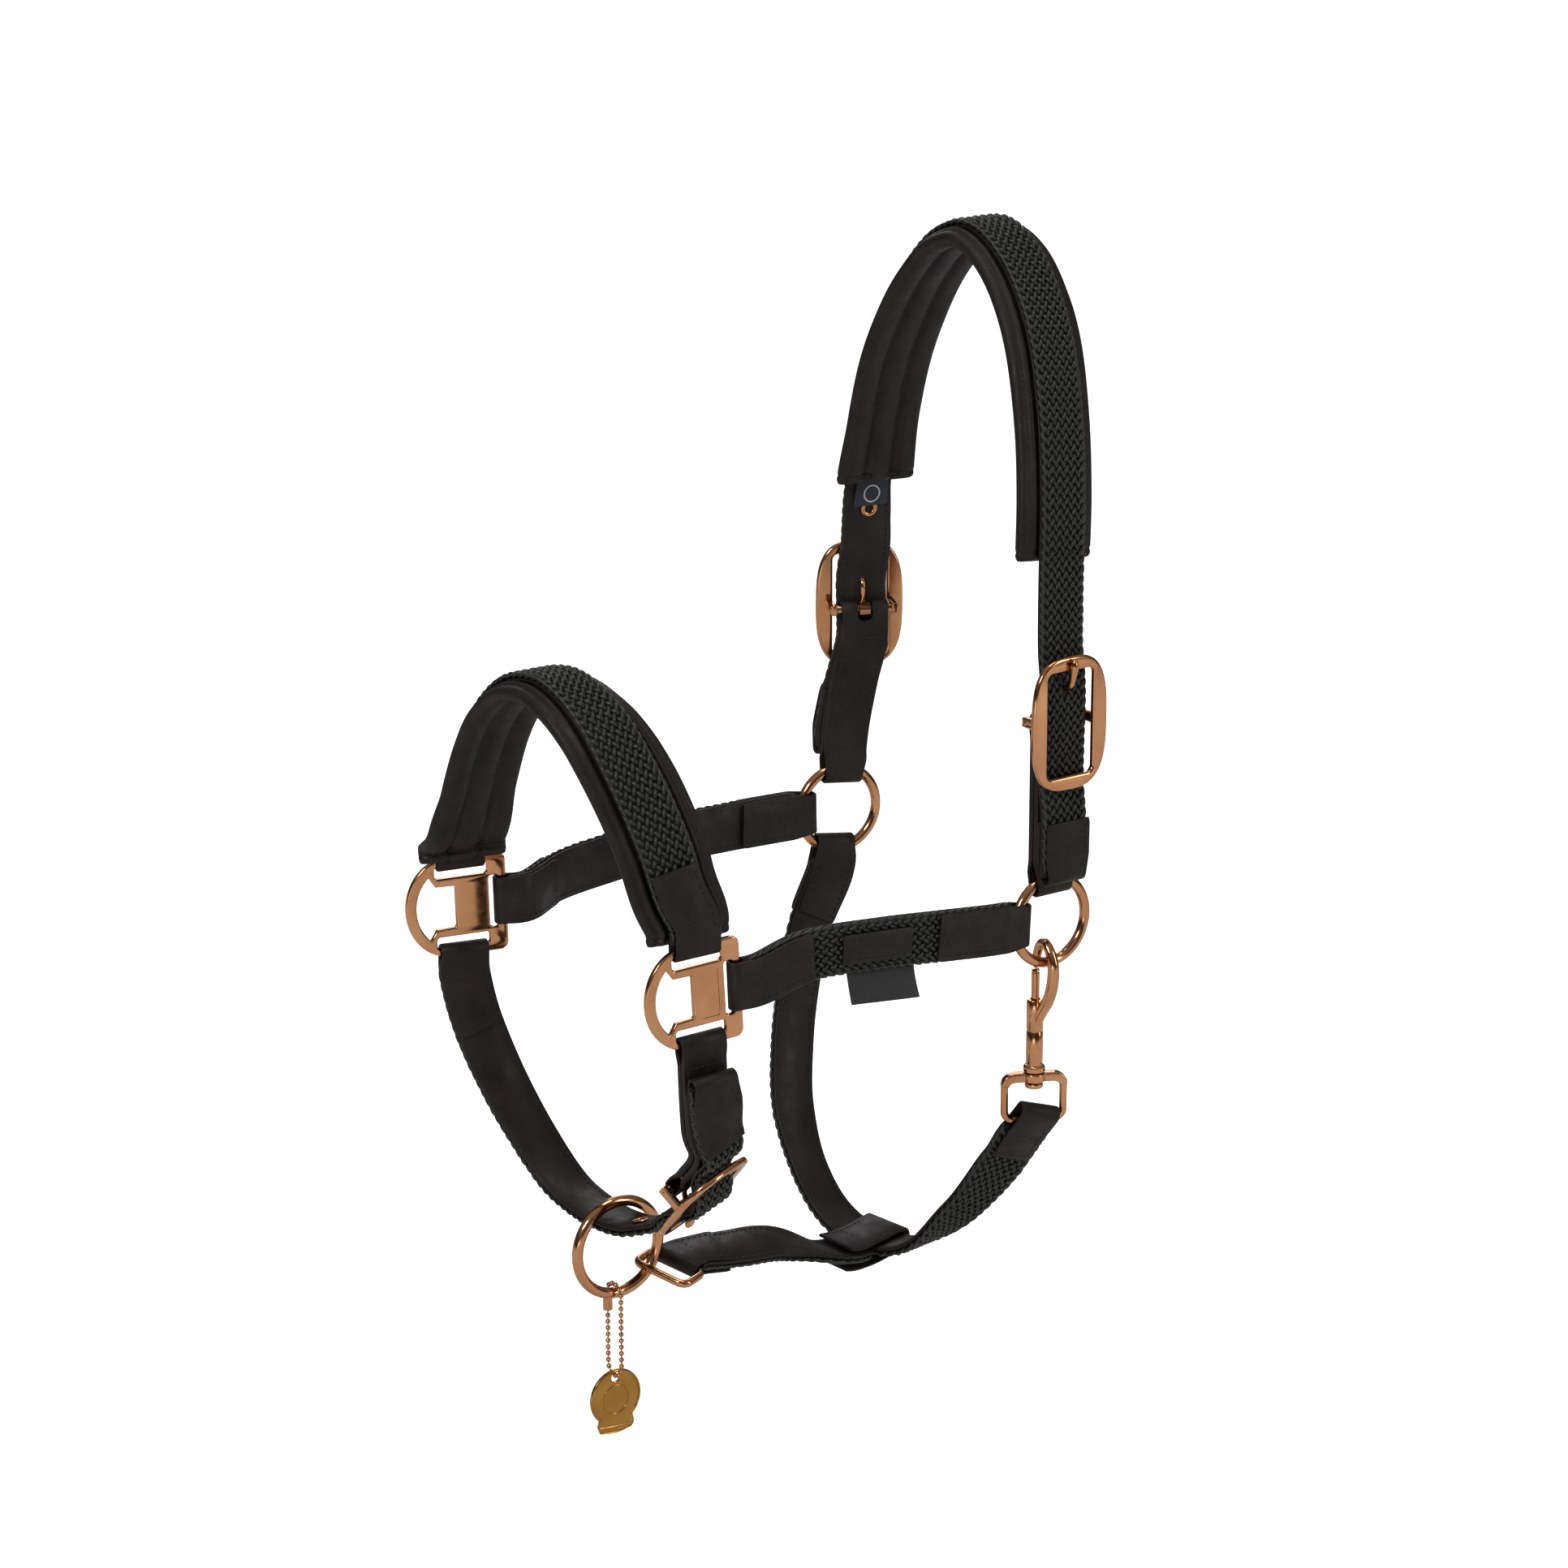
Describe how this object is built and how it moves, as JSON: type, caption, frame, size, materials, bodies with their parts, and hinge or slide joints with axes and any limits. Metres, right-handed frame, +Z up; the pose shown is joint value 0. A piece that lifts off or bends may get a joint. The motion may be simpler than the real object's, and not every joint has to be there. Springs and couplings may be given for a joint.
{
  "type": "horse headcollar",
  "caption": "Padded leather headcollar with plaited straps, adjustable crown and chin buckles, a throat strap with a bolt snap, and a lead ring.",
  "frame": {"origin": "middle of the crown pad's underside, where it rests on the poll", "axes": "+Z up, the nose points along -Y, +X is the horse's left (near) side"},
  "size_m": [0.2042, 0.2972, 0.562],
  "materials": {
    "crown_strap": "fine grained",
    "crown_plait": "plaited",
    "crown_pad": "fine grained",
    "near_crown_tip": "fine grained",
    "far_crown_tip": "fine grained",
    "near_crown_eyelet": "polished rose gold plate",
    "far_crown_eyelet": "polished rose gold plate",
    "size_label": "woven label",
    "near_buckle_frame": "polished rose gold plate",
    "far_buckle_frame": "polished rose gold plate",
    "chin_buckle_frame": "polished rose gold plate",
    "near_chape": "fine grained",
    "far_chape": "fine grained",
    "chin_chape": "fine grained",
    "noseband_strap": "fine grained",
    "noseband_plait": "plaited",
    "noseband_pad": "fine grained",
    "near_noseband_tab": "fine grained",
    "far_noseband_tab": "fine grained",
    "near_cheek_strap": "fine grained",
    "near_cheek_plait": "plaited",
    "near_cheek_front_tab": "fine grained",
    "near_cheek_rear_tab": "fine grained",
    "far_cheek_strap": "fine grained",
    "far_cheek_plait": "plaited",
    "far_cheek_rear_tab": "fine grained",
    "far_cheek_front_tab": "fine grained",
    "cheek_badge": "fine grained",
    "flag_label": "woven label",
    "chin_strap": "fine grained",
    "chin_plait": "plaited",
    "chin_far_tab": "fine grained",
    "chin_tip": "fine grained",
    "chin_eyelet": "polished rose gold plate",
    "throat_strap": "fine grained",
    "throat_plait": "plaited",
    "throat_far_tab": "fine grained",
    "throat_near_tab": "fine grained",
    "jowl_strap": "fine grained",
    "jowl_plait": "plaited",
    "jowl_front_tab": "fine grained",
    "jowl_rear_sleeve": "fine grained",
    "near_side_fitting": "polished rose gold plate",
    "far_side_fitting": "polished rose gold plate",
    "snap_swivel": "polished rose gold plate",
    "near_ring": "polished rose gold plate",
    "far_ring": "polished rose gold plate",
    "lead_ring": "polished rose gold plate",
    "jowl_loop": "polished rose gold plate",
    "near_buckle_tongue": "polished rose gold plate",
    "far_buckle_tongue": "polished rose gold plate",
    "chin_buckle_tongue": "polished rose gold plate",
    "snap_hook": "polished rose gold plate",
    "snap_spring": "bright drawn",
    "snap_bolt": "polished rose gold plate",
    "bead_chain": "polished rose gold plate",
    "chain_clasp": "polished rose gold plate",
    "medallion": "polished yellow gold plate"
  },
  "bodies": {
    "strapwork": {"crown_strap": "crown_strap", "crown_plait": "crown_plait", "crown_pad": "crown_pad", "near_crown_tip": "near_crown_tip", "far_crown_tip": "far_crown_tip", "near_crown_eyelet": "near_crown_eyelet", "far_crown_eyelet": "far_crown_eyelet", "size_label": "size_label", "near_buckle_frame": "near_buckle_frame", "far_buckle_frame": "far_buckle_frame", "chin_buckle_frame": "chin_buckle_frame", "near_chape": "near_chape", "far_chape": "far_chape", "chin_chape": "chin_chape", "noseband_strap": "noseband_strap", "noseband_plait": "noseband_plait", "noseband_pad": "noseband_pad", "near_noseband_tab": "near_noseband_tab", "far_noseband_tab": "far_noseband_tab", "near_cheek_strap": "near_cheek_strap", "near_cheek_plait": "near_cheek_plait", "near_cheek_front_tab": "near_cheek_front_tab", "near_cheek_rear_tab": "near_cheek_rear_tab", "far_cheek_strap": "far_cheek_strap", "far_cheek_plait": "far_cheek_plait", "far_cheek_rear_tab": "far_cheek_rear_tab", "far_cheek_front_tab": "far_cheek_front_tab", "cheek_badge": "cheek_badge", "flag_label": "flag_label", "chin_strap": "chin_strap", "chin_plait": "chin_plait", "chin_far_tab": "chin_far_tab", "chin_tip": "chin_tip", "chin_eyelet": "chin_eyelet", "throat_strap": "throat_strap", "throat_plait": "throat_plait", "throat_far_tab": "throat_far_tab", "throat_near_tab": "throat_near_tab", "jowl_strap": "jowl_strap", "jowl_plait": "jowl_plait", "jowl_front_tab": "jowl_front_tab", "jowl_rear_sleeve": "jowl_rear_sleeve", "near_side_fitting": "near_side_fitting", "far_side_fitting": "far_side_fitting", "snap_swivel": "snap_swivel"},
    "near_ring": {"near_ring": "near_ring"},
    "far_ring": {"far_ring": "far_ring"},
    "lead_ring": {"lead_ring": "lead_ring"},
    "jowl_loop": {"jowl_loop": "jowl_loop"},
    "near_tongue": {"near_buckle_tongue": "near_buckle_tongue"},
    "far_tongue": {"far_buckle_tongue": "far_buckle_tongue"},
    "chin_tongue": {"chin_buckle_tongue": "chin_buckle_tongue"},
    "snap": {"snap_hook": "snap_hook", "snap_spring": "snap_spring"},
    "snap_bolt": {"snap_bolt": "snap_bolt"},
    "chain": {"bead_chain": "bead_chain", "chain_clasp": "chain_clasp"},
    "medallion": {"medallion": "medallion"}
  },
  "joints": [
    {"name": "near_ring_spin", "type": "hinge", "parent": "strapwork", "child": "near_ring", "pos_m": [0.086, -0.0195, -0.309], "axis": [1, 0, 0], "continuous": true},
    {"name": "far_ring_spin", "type": "hinge", "parent": "strapwork", "child": "far_ring", "pos_m": [-0.086, -0.0172, -0.297], "axis": [0.9854, -0.1701, 0], "continuous": true},
    {"name": "lead_ring_spin", "type": "hinge", "parent": "strapwork", "child": "lead_ring", "pos_m": [0.01, -0.2175, -0.4536], "axis": [1, 0, 0], "continuous": true},
    {"name": "jowl_loop_tilt", "type": "hinge", "parent": "strapwork", "child": "jowl_loop", "pos_m": [0.01453, -0.18587, -0.46722], "axis": [0.9041, 0.3717, -0.211], "range_deg": [-3, 3]},
    {"name": "near_tongue_lift", "type": "hinge", "parent": "strapwork", "child": "near_tongue", "pos_m": [0.086, -0.0195, -0.209], "axis": [0, -1, 0], "range_deg": [-2, 0]},
    {"name": "far_tongue_lift", "type": "hinge", "parent": "strapwork", "child": "far_tongue", "pos_m": [-0.0808, -0.0056, -0.1945], "axis": [0.423, 0.9061, 0], "range_deg": [-2, 0]},
    {"name": "chin_tongue_lift", "type": "hinge", "parent": "strapwork", "child": "chin_tongue", "pos_m": [0.0591, -0.2113, -0.4042], "axis": [-0.2204, 0.9542, 0.2025], "range_deg": [-2, 0]},
    {"name": "snap_swivel_turn", "type": "hinge", "parent": "strapwork", "child": "snap", "pos_m": [0.0785, -0.0218, -0.3915], "axis": [0, 0, 1], "range_deg": [-8, 8]},
    {"name": "snap_bolt_slide", "type": "slide", "parent": "snap", "child": "snap_bolt", "axis": [0, 0, -1], "range_m": [0, 0.0065], "stiffness_N_per_m": 400, "springref_m": -0.003, "deforming": ["snap_spring"]},
    {"name": "chain_swing", "type": "hinge", "parent": "strapwork", "child": "chain", "pos_m": [0.01, -0.2199, -0.47647], "axis": [0, 1, 0], "range_deg": [-35, 35]},
    {"name": "medallion_swing", "type": "hinge", "parent": "chain", "child": "medallion", "pos_m": [0.01, -0.2199, -0.51897], "axis": [1, 0, 0], "range_deg": [-40, 40]}
  ]
}
